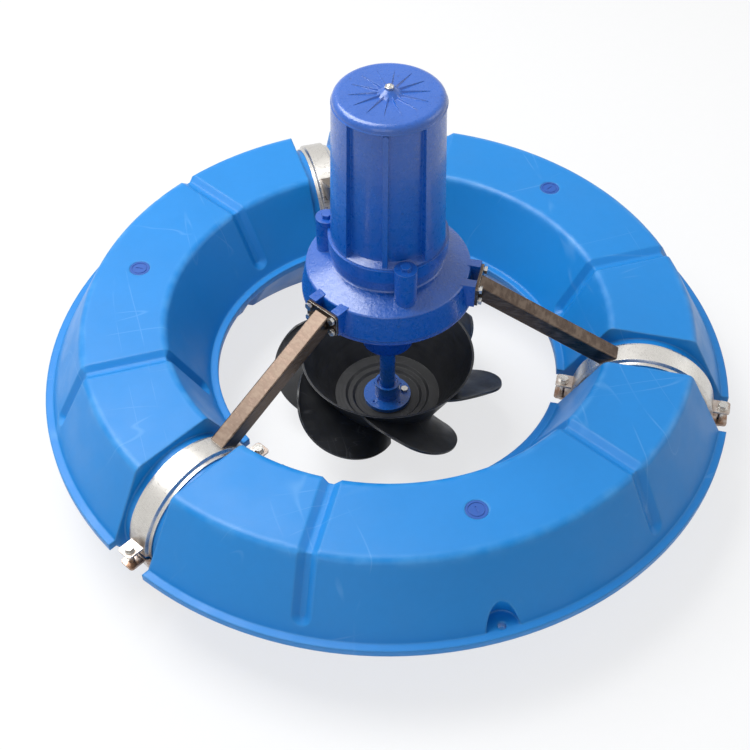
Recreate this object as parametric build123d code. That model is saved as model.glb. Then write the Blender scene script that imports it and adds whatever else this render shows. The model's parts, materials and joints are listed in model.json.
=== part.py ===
from build123d import *
import math
import os

os.makedirs("parts", exist_ok=True)

# All sizes are millimetres. The ring stands on z = 0 and its axis is the Z axis.
# Azimuth 0 is +X, and the front float segment is centred on azimuth -90.

# Float ring
ring_radius = 650.0
ring_bore_radius = 326.0
rim_ledge = 14.0
rim_thickness = 14.0
hull_height = 276.0
deck_inner_radius = 412.0
deck_outer_radius = 566.0
hull_edge_round = 16.0
hull_wall = 5.0
segment_count = 3
segment_gap = 87.0
first_segment_azimuth = -90.0
segment_names = ["front", "right", "left"]

# Stiffening grooves across each segment, with sloped sides and rounded ends
groove_offset_angle = 30.0
groove_width = 34.0
groove_floor_width = 9.0
groove_depth = 9.0
groove_rim_margin = 34.0
groove_bend_radius = 10.0
cut_margin = 1.0

# Mooring eye at the middle of each segment's rim
eye_inset = 21.0
eye_hole_radius = 7.0
eye_scoop_radius = 30.0
eye_scoop_height = 78.0
eye_scoop_top_radius = 9.0
eye_boss_radius = 19.0

# Filler plug in each deck
plug_head_radius = 19.0
plug_head_thickness = 4.0
plug_stem_radius = 14.0
plug_stem_length = 18.0
plug_clearance = 0.3
plug_boss_radius = 25.0
plug_boss_depth = 22.0
plug_ring_radius = 13.0
plug_ring_width = 2.0
plug_slot_length = 14.0
plug_slot_width = 3.0
seal_thickness = 1.5

# Round necks that join neighbouring segments
neck_radius = 124.0
neck_lip_radius = 130.0
neck_lip_width = 14.0
neck_face_gap = 1.5
neck_rise = 1.0

# Hoop clamps over the necks
hoop_clearance = 0.5
hoop_sheet = 2.5
hoop_channel_width = 38.0
hoop_flange_width = 9.0
hoop_step_run = 3.0
hoop_split_angle = 2.0
lug_length = 34.0
lug_width = 30.0
lug_thickness = 4.0
lug_corner = 6.0
upper_lug_height = 20.0
lower_lug_height = 8.0
lug_weld_overlap = 1.2

# Fasteners
hoop_bolt_radius = 5.0
hoop_bolt_head_flats = 16.0
hoop_bolt_head_height = 6.4
plate_bolt_radius = 4.0
plate_bolt_head_flats = 13.0
plate_bolt_head_height = 5.3
motor_bolt_radius = 5.0
motor_bolt_head_flats = 17.0
motor_bolt_head_height = 7.0
hub_bolt_radius = 4.0
hub_bolt_head_flats = 13.0
hub_bolt_head_height = 5.3
washer_extra_radius = 5.0
washer_thickness = 1.6
bolt_clearance = 0.3
bolt_end_gap = 2.0
thread_depth = 16.0

# Arms from the hoops to the gearbox
arm_size = 32.0
arm_wall = 2.5
arm_corner = 3.0
arm_weld_sink = 3.0
arm_hoop_inset = 80.0
arm_plate_radius = 165.0
arm_plate_thickness = 5.0
arm_plate_width = 72.0
arm_plate_corner = 6.0
arm_plate_rise = 5.0
arm_plate_height = 43.0
arm_top_on_plate = 33.0
arm_plate_bolt_spacing_y = 54.0
arm_plate_bolt_spacing_z = 26.0

# Gearbox case
case_bottom = 346.0
case_lower_radius = 157.0
case_side_height = 50.0
case_shoulder_radius = 148.0
case_cone_height = 15.0
case_seat_radius = 99.0
case_seat_height = 27.0
case_shoulder_round = 4.0
case_seat_wall = 12.0
case_roof_thickness = 18.0
case_bearing_boss_radius = 34.0
case_cavity_radius = 131.0
case_roof_drop = 8.0
pad_inner_radius = 125.0
pad_width = 18.0
pad_bottom_margin = 4.0
pad_rise = 2.0

# Gearbox cover with its long bearing neck
gasket_thickness = 1.0
cover_thickness = 8.0
cover_neck_radius = 49.0
cover_neck_length = 139.0
cover_neck_root_radius = 60.0
cover_edge_round = 2.0
cover_bolt_circle = 144.0
cover_bolt_count = 6
cover_bolt_radius = 4.0
cover_bolt_head_flats = 13.0
cover_bolt_head_height = 5.3

# Gear train: two stages that bring the drive back to the centre line
gear_axis_distance = 70.0
counter_azimuth = 90.0
pressure_angle = 25.0
addendum_factor = 0.8
dedendum_factor = 1.05
gear_backlash = 0.16
stage_one_module = 1.75
stage_one_pinion_teeth = 16
stage_one_wheel_teeth = 64
stage_one_width_share = 0.4
stage_two_module = 2.0
stage_two_pinion_teeth = 14
stage_two_wheel_teeth = 56
gear_floor_gap = 3.5
gear_roof_gap = 1.5
stage_gap = 3.0
flank_points = 4

# Shafts and bearings
running_clearance = 0.05
output_shaft_radius = 15.0
output_bearing_radius = 31.0
output_bearing_width = 16.0
output_lower_bearing_rise = 30.0
output_seal_rise = 8.0
output_seal_width = 10.0
counter_shaft_radius = 10.0
counter_bearing_radius = 21.0
counter_bearing_width = 12.0
counter_pocket_floor = 7.0
rotor_shaft_radius = 10.0
rotor_bearing_radius = 23.5
rotor_bearing_width = 14.0
bearing_seat_margin = 1.0
bearing_face_groove_depth = 1.0
bearing_race_share = 0.25
seal_rim_share = 0.25
seal_lip_share = 0.33
seal_floor_share = 0.33

# Motor
motor_height = 316.0
motor_flange_radius = 107.0
motor_flange_height = 27.0
motor_base_radius = 103.0
motor_shoulder_radius = 95.2
motor_shoulder_drop = 15.0
motor_crown_radius = 93.5
motor_crown_round = 12.0
motor_step_height = 2.0
motor_cavity_radius = 76.0
motor_roof = 26.0
motor_panel_angle = 83.0
motor_panel_azimuth = 9.4
motor_panel_foot_radius = 90.0
motor_panel_head_radius = 87.5
motor_panel_foot_rise = 8.0
motor_rib_width = 9.0
motor_rib_drop = 2.0
motor_rib_sink = 1.5
motor_boss_radius = 20.0
motor_boss_circle = 113.0
motor_boss_height = 36.0
motor_boss_azimuth = 28.0
crown_ray_count = 14
crown_ray_azimuth = 13.6
crown_ray_root_radius = 14.0
crown_ray_tip_radius = 66.0
crown_ray_width = 6.0
crown_ray_height = 4.0
crown_ray_tip_share = 0.12
crown_mound_radius = 21.0
crown_mound_top_radius = 8.5
crown_mound_height = 9.0
cap_nut_radius = 7.0
cap_nut_height = 8.0
upper_bearing_boss_radius = 32.0
upper_bearing_boss_depth = 30.0
stator_rise = 66.0
stator_length = 120.0
stator_bore_radius = 45.0
winding_inner_radius = 50.0
winding_outer_radius = 72.0
winding_height = 22.0
rotor_air_gap = 0.6

# Cable gland at the back of the motor
gland_azimuth = 68.4
gland_rise = 70.0
gland_boss_radius = 17.0
gland_boss_length = 9.0
gland_thread_radius = 10.0
gland_thread_length = 12.0
gland_hex_flats = 24.0
gland_hex_height = 6.0
gland_nut_radius = 12.0
gland_nut_height = 14.0
gland_nut_round = 4.0
gland_bore_radius = 5.0

# Oil plugs
oil_plug_radius = 8.0
oil_plug_length = 12.0
oil_plug_head_flats = 17.0
oil_plug_head_height = 7.0
oil_boss_radius = 14.0
fill_plug_radius_position = 124.0
fill_plug_azimuth = 60.0
fill_boss_rise = 19.0
drain_plug_radius_position = 100.0
drain_plug_azimuth = 270.0
drain_boss_depth = 6.0

# Impeller bowl
bowl_rim_radius = 163.0
bowl_rim_height = 157.0
bowl_floor_radius = 103.0
bowl_floor_height = 46.0
bowl_step_radii = [80.5, 66.5]
bowl_step_drop = 5.0
bowl_wall = 4.0
hub_flange_radius = 46.5
hub_flange_thickness = 8.0
hub_collar_radius = 25.0
hub_collar_height = 34.0
hub_counterbore_radius = 20.5
hub_counterbore_depth = 6.0
hub_screw_circle = 35.5
hub_screw_count = 4
hub_first_screw_azimuth = 25.4
hub_screw_head_radius = 6.5
hub_screw_socket_flats = 5.0
hub_screw_socket_depth = 2.5
hub_lock_bolt_azimuth = -4.6
hub_lock_bolt_circle = 35.0
shaft_foot_drop = 14.0

# Impeller blades: each root runs down the bowl's outside from the rim to the floor
blade_count = 6
first_blade_azimuth = -126.2
blade_thickness = 4.0
blade_root_top_drop = 4.0
blade_root_bottom_drop = 14.0
blade_root_angle = 82.0
blade_top_width = 37.0
blade_belly_width = 142.0
blade_bottom_width = 12.0
blade_edge_lead = 23.0
blade_edge_drop = 12.0
blade_stations = 9
blade_root_sink = 5.0


def polar(radius, azimuth, height=0.0):
    """Point at a radius, azimuth and height about the ring's axis."""
    angle = math.radians(azimuth)
    return Vector(radius * math.cos(angle), radius * math.sin(angle), height)


def turned(shape, azimuth):
    """Shape turned about the ring's axis."""
    return Rot(0, 0, azimuth) * shape


def disc(radius, bottom, top):
    """Solid cylinder about the Z axis between two heights."""
    return Pos(0, 0, bottom) * extrude(Circle(radius), top - bottom)


def ring(outer, inner, bottom, top):
    """Solid tube about the Z axis between two heights."""
    return Pos(0, 0, bottom) * extrude(Circle(outer) - Circle(inner), top - bottom)


def spun(points, round_radius=0.0, round_points=()):
    """Closed outline of (radius, height) points turned about the Z axis."""
    outline = make_face(Polyline(*points, close=True))
    if round_points:
        corners = [
            vertex
            for vertex in outline.vertices()
            if any(math.dist((vertex.X, vertex.Y), point) < 0.01 for point in round_points)
        ]
        outline = fillet(corners, round_radius)
    return revolve(Plane.XZ * outline, Axis.Z, 360)


def hex_prism(flats, height):
    """Hexagonal prism standing on z = 0."""
    return extrude(RegularPolygon(flats / 2, 6, major_radius=False), height)


def hex_bolt(radius, length, flats, head_height):
    """Bolt whose head sits on z = 0 and whose shank points down."""
    head = hex_prism(flats, head_height)
    shank = disc(radius, -length, 0)
    return head + shank


def washer(radius):
    """Flat washer lying on z = 0."""
    return ring(radius + washer_extra_radius, radius + bolt_clearance, 0, washer_thickness)


def hex_nut(radius, flats, height):
    """Nut standing on z = 0."""
    return hex_prism(flats, height) - disc(radius + bolt_clearance, 0, height)


# Places that several pieces share
ring_middle_radius = (ring_radius + ring_bore_radius) / 2
seam_height = hull_height / 2
rim_bottom = seam_height - rim_thickness / 2
rim_top = seam_height + rim_thickness / 2
neck_height = seam_height + neck_rise
half_gap = segment_gap / 2
groove_slope = (groove_width - groove_floor_width) / 2 / groove_depth
segment_angle = 360 / segment_count
segment_azimuths = [first_segment_azimuth + segment_angle * i for i in range(segment_count)]
clamp_azimuths = [azimuth + segment_angle / 2 for azimuth in segment_azimuths]
clamp_names = ["right", "rear", "left"]
hoop_inner_radius = neck_lip_radius + hoop_clearance
hoop_outer_radius = hoop_inner_radius + hoop_sheet
hoop_flange_inner = neck_radius + hoop_clearance

case_shoulder_height = case_bottom + case_side_height
case_cone_top = case_shoulder_height + case_cone_height
case_top = case_cone_top + case_seat_height
case_cavity_top = case_shoulder_height - case_roof_drop
pad_bottom = case_bottom + pad_bottom_margin
pad_top = case_shoulder_height + pad_rise
arm_plate_bottom = case_bottom + arm_plate_rise
arm_top_at_plate = arm_plate_bottom + arm_top_on_plate
arm_top_at_hoop = neck_height + hoop_outer_radius - arm_weld_sink
arm_hoop_reach_radius = ring_middle_radius - arm_hoop_inset

cover_top = case_bottom - gasket_thickness
cover_bottom = cover_top - cover_thickness
cover_neck_bottom = cover_bottom - cover_neck_length
output_lower_bearing_bottom = cover_neck_bottom + output_lower_bearing_rise
output_seal_bottom = cover_neck_bottom + output_seal_rise
output_upper_bearing_bottom = cover_top - output_bearing_width
counter_lower_bearing_bottom = cover_top - counter_bearing_width
counter_upper_bearing_bottom = case_cavity_top
counter_place = Pos(
    gear_axis_distance * math.cos(math.radians(counter_azimuth)),
    gear_axis_distance * math.sin(math.radians(counter_azimuth)),
    0,
)

gear_room = case_cavity_top - cover_top - gear_floor_gap - stage_gap - gear_roof_gap
stage_one_width = gear_room * stage_one_width_share
stage_two_width = gear_room - stage_one_width
stage_two_bottom = cover_top + gear_floor_gap
stage_two_top = stage_two_bottom + stage_two_width
stage_one_bottom = stage_two_top + stage_gap

motor_top = case_top + motor_height
motor_flange_top = case_top + motor_flange_height
motor_shoulder = motor_top - motor_shoulder_drop
motor_cavity_top = motor_top - motor_roof
motor_boss_top = case_top + motor_boss_height
upper_bearing_boss_bottom = motor_cavity_top - upper_bearing_boss_depth
rotor_lower_bearing_bottom = case_top - rotor_bearing_width - bearing_seat_margin
stator_bottom = case_top + stator_rise
gland_height = case_top + gland_rise
fill_boss_top = case_shoulder_height + fill_boss_rise

bowl_centre_height = bowl_floor_height - bowl_step_drop * len(bowl_step_radii)
hub_flange_top = bowl_centre_height + hub_flange_thickness
hub_collar_top = hub_flange_top + hub_collar_height
shaft_foot = bowl_centre_height - shaft_foot_drop
blade_root_top = bowl_rim_height - blade_root_top_drop
blade_root_bottom = bowl_floor_height - blade_root_bottom_drop


def clamp_plane(azimuth):
    """Plane of a hoop: x points outward, y up and z back along the ring."""
    centre = polar(ring_middle_radius, azimuth, neck_height)
    tangent = polar(1, azimuth + 90)
    return Plane(origin=centre, x_dir=polar(1, azimuth), z_dir=-tangent)


# Float segments

def hull_outline(inset):
    """Radial section of a float hull, drawn a distance inside its outer skin."""
    inner = ring_bore_radius + rim_ledge
    outer = ring_radius - rim_ledge
    points = [
        (inner, rim_bottom),
        (inner, rim_top),
        (deck_inner_radius, hull_height),
        (deck_outer_radius, hull_height),
        (outer, rim_top),
        (outer, rim_bottom),
        (deck_outer_radius, 0),
        (deck_inner_radius, 0),
    ]
    outline = make_face(Polyline(*points, close=True))
    if inset:
        outline = offset(outline, -inset, kind=Kind.INTERSECTION)
    flat_corners = [v for v in outline.vertices() if abs(v.Y - seam_height) > rim_thickness]
    return fillet(flat_corners, hull_edge_round - inset / 2)


def segment_wedge(inset):
    """Block that holds one segment between its two flat ends, centred on azimuth 0."""
    half_angle = math.radians(segment_angle / 2)
    apex = (half_gap + inset) / math.sin(half_angle)
    reach = 2 * ring_radius
    side = (apex + reach * math.cos(half_angle), reach * math.sin(half_angle))
    outline = Polyline(
        (apex, 0), side, (2 * reach, 0), (side[0], -side[1]), close=True
    )
    return extrude(make_face(outline), hull_height)


def groove_path():
    """Line over the hull's upper skin, from near the inner rim to near the outer rim."""
    inner = Vector(ring_bore_radius + rim_ledge, rim_top)
    outer = Vector(ring_radius - rim_ledge, rim_top)
    inner_deck = Vector(deck_inner_radius, hull_height)
    outer_deck = Vector(deck_outer_radius, hull_height)
    start = inner + (inner_deck - inner).normalized() * groove_rim_margin
    end = outer + (outer_deck - outer).normalized() * groove_rim_margin
    points = [(point.X, 0, point.Y) for point in (start, inner_deck, outer_deck, end)]
    return FilletPolyline(*points, radius=groove_bend_radius)


def groove_end(place, outward, depth, grow):
    """Rounded end of a groove: a cone that narrows into the hull."""
    floor_radius = groove_floor_width / 2 + grow
    cone = Cone(
        floor_radius,
        floor_radius + groove_slope * (groove_depth + cut_margin),
        depth + cut_margin,
        align=(Align.CENTER, Align.CENTER, Align.MIN),
    )
    return Plane(origin=place - outward * depth, z_dir=outward) * cone


def hull_grooves(depth, grow):
    """Grooves on both sides of a segment's middle, above and below the rim."""
    path = groove_path()
    floor_half = groove_floor_width / 2 + grow
    top_half = floor_half + groove_slope * (groove_depth + cut_margin)
    section = make_face(
        Polyline(
            (-floor_half, -depth),
            (floor_half, -depth),
            (top_half, cut_margin),
            (-top_half, cut_margin),
            close=True,
        )
    )
    across = Vector(0, 1, 0)
    start_plane = Plane(origin=path @ 0, x_dir=across, z_dir=path % 0)
    groove = sweep(start_plane * section, path=path)
    for share in (0, 1):
        outward = (path % share).cross(across)
        groove += groove_end(path @ share, outward, depth, grow)
    pair = [groove, mirror(groove, about=Plane.XY.offset(seam_height))]
    return [turned(piece, side * groove_offset_angle) for piece in pair for side in (1, -1)]


def eye_scoops(grow):
    """Conical hollows above and below the mooring eye."""
    centre = ring_radius - eye_inset
    cone = Cone(
        eye_scoop_radius + grow,
        eye_scoop_top_radius + grow,
        eye_scoop_height,
        align=(Align.CENTER, Align.CENTER, Align.MIN),
    )
    upper = Pos(centre, 0, rim_top - grow) * cone
    lower = Pos(centre, 0, rim_bottom + grow) * Rot(180, 0, 0) * cone
    return upper + lower


def neck_pieces(radius, lip_radius, near, far, lip_far):
    """Round necks at both ends of a segment centred on azimuth 0."""
    necks = []
    for side in (1, -1):
        plane = clamp_plane(side * segment_angle / 2)
        start = side * near
        neck = extrude(plane.offset(start) * Circle(radius), side * (far - near))
        if lip_radius:
            neck += extrude(plane.offset(start) * Circle(lip_radius), side * (lip_far - near))
        necks.append(neck)
    return necks[0] + necks[1]


def float_segment():
    """Hollow float segment centred on azimuth 0."""
    body = revolve(Plane.XZ * hull_outline(0), Axis.Z, 360) & segment_wedge(0)
    rim = ring(ring_radius, ring_bore_radius, rim_bottom, rim_top)
    rim -= disc(ring_radius - 2 * rim_ledge, rim_bottom, rim_top) - disc(
        ring_bore_radius + 2 * rim_ledge, rim_bottom, rim_top
    )
    for groove in hull_grooves(groove_depth, 0):
        body -= groove
    body -= eye_scoops(0)
    body += rim & segment_wedge(0)
    body += neck_pieces(
        neck_radius, neck_lip_radius, neck_face_gap, half_gap + hull_wall, neck_face_gap + neck_lip_width
    )
    cavity = revolve(Plane.XZ * hull_outline(hull_wall), Axis.Z, 360) & segment_wedge(hull_wall)
    for groove in hull_grooves(groove_depth + hull_wall, hull_wall):
        cavity -= groove
    cavity -= eye_scoops(hull_wall)
    eye = Pos(ring_radius - eye_inset, 0, 0)
    cavity -= eye * disc(eye_boss_radius, rim_bottom, rim_top)
    cavity += neck_pieces(
        neck_radius - hull_wall, 0, neck_face_gap + hull_wall, half_gap + 2 * hull_wall, 0
    )
    plug_place = Pos(ring_middle_radius, 0, 0)
    cavity -= plug_place * disc(plug_boss_radius, hull_height - plug_boss_depth, hull_height)
    body -= cavity
    seat_depth = plug_head_thickness + seal_thickness
    body -= plug_place * disc(plug_head_radius + plug_clearance, hull_height - seat_depth, hull_height)
    body -= plug_place * disc(plug_stem_radius + plug_clearance, hull_height - plug_boss_depth, hull_height)
    body -= eye * disc(eye_hole_radius, rim_bottom, rim_top)
    return body


def filler_plug():
    """Screw plug with a ring groove and a driving slot in its head."""
    head = disc(plug_head_radius, hull_height - plug_head_thickness, hull_height)
    groove = ring(
        plug_ring_radius + plug_ring_width,
        plug_ring_radius,
        hull_height - plug_ring_width / 2,
        hull_height,
    )
    slot = Pos(0, 0, hull_height) * Box(plug_slot_length, plug_slot_width, plug_ring_width)
    stem = disc(plug_stem_radius, hull_height - plug_stem_length, hull_height - plug_head_thickness)
    return head + stem - groove - slot


def plug_seal():
    """Flat seal under the filler plug's head."""
    top = hull_height - plug_head_thickness
    return ring(plug_head_radius, plug_stem_radius + plug_clearance, top - seal_thickness, top)


# Hoop clamps, built about the Z axis and then laid on their clamp plane

def hoop_outline():
    """Hat section of the hoop as (radius, width) points."""
    half = hoop_channel_width / 2
    edge = half + hoop_flange_width
    foot = half + hoop_step_run
    outer_side = [
        (hoop_outer_radius, -half),
        (hoop_outer_radius, half),
        (hoop_flange_inner + hoop_sheet, foot),
        (hoop_flange_inner + hoop_sheet, edge),
        (hoop_flange_inner, edge),
        (hoop_flange_inner, foot - hoop_sheet),
        (hoop_inner_radius, half - hoop_sheet),
    ]
    inner_side = [
        (hoop_inner_radius, hoop_sheet - half),
        (hoop_flange_inner, hoop_sheet - foot),
        (hoop_flange_inner, -edge),
        (hoop_flange_inner + hoop_sheet, -edge),
        (hoop_flange_inner + hoop_sheet, -foot),
    ]
    return make_face(Polyline(*outer_side, *inner_side, close=True))


def hoop_lug(bottom, side):
    """Flat bolt lug on the outer (1) or inner (-1) end of a hoop half."""
    start = hoop_outer_radius - lug_weld_overlap - lug_thickness
    plate = Pos(side * (start + lug_length / 2), bottom + lug_thickness / 2, 0) * Box(
        lug_length, lug_thickness, lug_width
    )
    corners = plate.edges().filter_by(Axis.Y).sort_by(Axis.X)
    outer_corners = corners[-2:] if side > 0 else corners[:2]
    plate = fillet(outer_corners, lug_corner)
    hole = Pos(side * lug_bolt_offset, bottom, 0) * Rot(-90, 0, 0) * disc(
        hoop_bolt_radius + bolt_clearance, 0, lug_thickness
    )
    inside = disc(hoop_outer_radius - lug_weld_overlap, -lug_width, lug_width)
    return plate - hole - inside


lug_bolt_offset = hoop_outer_radius + lug_length / 2 - lug_thickness / 2


def hoop_half(upper):
    """Upper or lower half of a hoop with its two lugs."""
    band = revolve(Plane.XZ * hoop_outline(), Axis.Z, 180 - 2 * hoop_split_angle)
    if upper:
        band = Rot(0, 0, hoop_split_angle) * band
        lug_bottom = upper_lug_height
    else:
        band = Rot(0, 0, 180 + hoop_split_angle) * band
        lug_bottom = -lower_lug_height - lug_thickness
    return band + hoop_lug(lug_bottom, 1) + hoop_lug(lug_bottom, -1)


def hoop_bolt_places():
    """Local places of the two bolts of a hoop, on top of the upper lugs."""
    top = upper_lug_height + lug_thickness
    return [Pos(side * lug_bolt_offset, top, 0) * Rot(-90, 0, 0) for side in (1, -1)]


def hoop_bolt_set():
    """Bolts of one hoop, in its clamp plane's own frame."""
    grip = upper_lug_height + lower_lug_height + 2 * lug_thickness
    length = grip + 2 * washer_thickness + hoop_bolt_head_height + hoop_bolt_radius
    bolt = hex_bolt(hoop_bolt_radius, length, hoop_bolt_head_flats, hoop_bolt_head_height)
    return [place * Pos(0, 0, washer_thickness) * bolt for place in hoop_bolt_places()]


def hoop_nut_set():
    """Washers and nuts of one hoop, in its clamp plane's own frame."""
    grip = upper_lug_height + lower_lug_height + 2 * lug_thickness
    nut = hex_nut(hoop_bolt_radius, hoop_bolt_head_flats, hoop_bolt_head_height)
    pieces = []
    for place in hoop_bolt_places():
        pieces.append(place * washer(hoop_bolt_radius))
        pieces.append(place * Pos(0, 0, -grip - washer_thickness) * washer(hoop_bolt_radius))
        pieces.append(place * Pos(0, 0, -grip - washer_thickness - hoop_bolt_head_height) * nut)
    return pieces


# Arms, built along azimuth 0

def arm():
    """Square tube from the mounting plate down to the hoop, coped to the hoop."""
    start_radius = arm_plate_radius + arm_plate_thickness
    run = arm_hoop_reach_radius - start_radius
    drop = arm_top_at_plate - arm_top_at_hoop
    length = math.hypot(run, drop)
    half_height = arm_size / 2 * length / run
    start = Vector(start_radius, 0, arm_top_at_plate - half_height)
    along = Vector(run, 0, -drop)
    plane = Plane(origin=start, x_dir=(0, 1, 0), z_dir=along)
    tube = RectangleRounded(arm_size, arm_size, arm_corner)
    tube -= RectangleRounded(arm_size - 2 * arm_wall, arm_size - 2 * arm_wall, arm_corner / 2)
    body = extrude(plane.offset(-arm_size) * tube, length + 2 * arm_size)
    inside_plate = Pos(start_radius - arm_size * 2, 0, start.Z) * Box(
        4 * arm_size, 2 * arm_size, 4 * arm_size
    )
    hoop = clamp_plane(0) * disc(hoop_outer_radius, -arm_size, arm_size)
    return body - inside_plate - hoop


def plate_bolt_places():
    """Places of an arm's four plate bolts, heads pointing outward along azimuth 0."""
    middle = arm_plate_bottom + arm_plate_height / 2
    face = arm_plate_radius + arm_plate_thickness
    return [
        Pos(face, side * arm_plate_bolt_spacing_y / 2, middle + level * arm_plate_bolt_spacing_z / 2)
        * Rot(0, 90, 0)
        for side in (1, -1)
        for level in (1, -1)
    ]


def arm_plate():
    """Flat plate welded to the arm and bolted to the gearbox pads."""
    plate = Pos(
        arm_plate_radius + arm_plate_thickness / 2, 0, arm_plate_bottom + arm_plate_height / 2
    ) * Box(arm_plate_thickness, arm_plate_width, arm_plate_height)
    plate = fillet(plate.edges().filter_by(Axis.X), arm_plate_corner)
    for place in plate_bolt_places():
        plate -= place * disc(plate_bolt_radius + bolt_clearance, -arm_plate_thickness, 0)
    return plate


def plate_bolt():
    """Plate bolt with its washer under the head."""
    bolt = Pos(0, 0, washer_thickness) * hex_bolt(
        plate_bolt_radius,
        washer_thickness + arm_plate_thickness + thread_depth - bolt_end_gap,
        plate_bolt_head_flats,
        plate_bolt_head_height,
    )
    return bolt


# Gears

def gear(module, teeth, width, bottom, hole_radius, first_tooth_azimuth):
    """Spur gear about the Z axis with involute teeth and a small backlash."""
    pitch_radius = module * teeth / 2
    base_radius = pitch_radius * math.cos(math.radians(pressure_angle))
    tip_radius = pitch_radius + addendum_factor * module
    root_radius = pitch_radius - dedendum_factor * module
    pitch_involute = math.tan(math.radians(pressure_angle)) - math.radians(pressure_angle)
    half_backlash = gear_backlash / 2
    half_tooth = math.pi / (2 * teeth) - half_backlash / (2 * pitch_radius)

    def flank_point(radius, side, turn):
        cosine = min(1.0, base_radius / radius)
        roll = math.acos(cosine)
        angle = half_tooth + pitch_involute - (math.tan(roll) - roll)
        return (radius * math.cos(turn + side * angle), radius * math.sin(turn + side * angle))

    flank_start = max(base_radius, root_radius)
    flank_step = (tip_radius - flank_start) / (flank_points - 1)
    flank_radii = [flank_start + flank_step * i for i in range(flank_points)]
    edges = []
    corner = None
    first = None
    for tooth in range(teeth):
        turn = 2 * math.pi * tooth / teeth
        rising = [flank_point(radius, -1, turn) for radius in flank_radii]
        falling = [flank_point(radius, 1, turn) for radius in reversed(flank_radii)]
        foot_angle = math.atan2(rising[0][1], rising[0][0])
        foot = (root_radius * math.cos(foot_angle), root_radius * math.sin(foot_angle))
        end_angle = math.atan2(falling[-1][1], falling[-1][0])
        end = (root_radius * math.cos(end_angle), root_radius * math.sin(end_angle))
        if corner is None:
            first = foot
        else:
            edges.append(Line(corner, foot))
        if root_radius < flank_start:
            edges.append(Line(foot, rising[0]))
        edges.append(Spline(*rising))
        edges.append(Line(rising[-1], falling[0]))
        edges.append(Spline(*falling))
        if root_radius < flank_start:
            edges.append(Line(falling[-1], end))
        corner = end if root_radius < flank_start else falling[-1]
    edges.append(Line(corner, first))
    blank = make_face(Wire(edges))
    if hole_radius:
        blank -= Circle(hole_radius)
    return Pos(0, 0, bottom) * Rot(0, 0, first_tooth_azimuth) * extrude(blank, width)


def motor_pinion():
    """Pinion on the motor's shaft, one tooth towards the countershaft."""
    return gear(
        stage_one_module,
        stage_one_pinion_teeth,
        stage_one_width,
        stage_one_bottom,
        rotor_shaft_radius,
        counter_azimuth,
    )


def counter_wheel():
    """Large wheel on the countershaft, one tooth gap towards the motor pinion."""
    gap_azimuth = counter_azimuth + 180 + 180 / stage_one_wheel_teeth
    return counter_place * gear(
        stage_one_module,
        stage_one_wheel_teeth,
        stage_one_width,
        stage_one_bottom,
        counter_shaft_radius,
        gap_azimuth,
    )


def counter_pinion():
    """Small pinion on the countershaft, one tooth towards the output wheel."""
    return counter_place * gear(
        stage_two_module,
        stage_two_pinion_teeth,
        stage_two_width,
        stage_two_bottom,
        counter_shaft_radius,
        counter_azimuth + 180,
    )


def output_wheel():
    """Output wheel, one tooth gap towards the countershaft."""
    return gear(
        stage_two_module,
        stage_two_wheel_teeth,
        stage_two_width,
        stage_two_bottom,
        output_shaft_radius,
        counter_azimuth + 180 / stage_two_wheel_teeth,
    )


# Bearings and seal

def bearing(outer, shaft, width, bottom):
    """Sealed ball bearing as one ring with a groove round each face."""
    body = ring(outer, shaft + running_clearance, bottom, bottom + width)
    race = (outer - shaft) * bearing_race_share
    face_groove = ring(outer - race, shaft + race, 0, bearing_face_groove_depth)
    body -= Pos(0, 0, bottom) * face_groove
    body -= Pos(0, 0, bottom + width - bearing_face_groove_depth) * face_groove
    return body


def output_seal():
    """Lip seal that closes the neck under the lower bearing."""
    top = output_seal_bottom + output_seal_width
    wall = output_bearing_radius - output_shaft_radius
    body = ring(output_bearing_radius, output_shaft_radius + running_clearance, output_seal_bottom, top)
    hollow = ring(
        output_bearing_radius - wall * seal_rim_share,
        output_shaft_radius + wall * seal_lip_share,
        output_seal_bottom + output_seal_width * seal_floor_share,
        top,
    )
    return body - hollow


# Gearbox case and cover

def case_pads():
    """Pairs of radial pads that carry the arm plates."""
    pads = []
    length = arm_plate_radius - pad_inner_radius
    for azimuth in clamp_azimuths:
        for side in (1, -1):
            pad = Pos(
                pad_inner_radius + length / 2,
                side * arm_plate_bolt_spacing_y / 2,
                (pad_bottom + pad_top) / 2,
            ) * Box(length, pad_width, pad_top - pad_bottom)
            pads.append(turned(pad, azimuth))
    return pads


def motor_boss_azimuths():
    """Azimuths of the bolt bosses between the arms."""
    return [motor_boss_azimuth + segment_angle * i for i in range(segment_count)]


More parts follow.
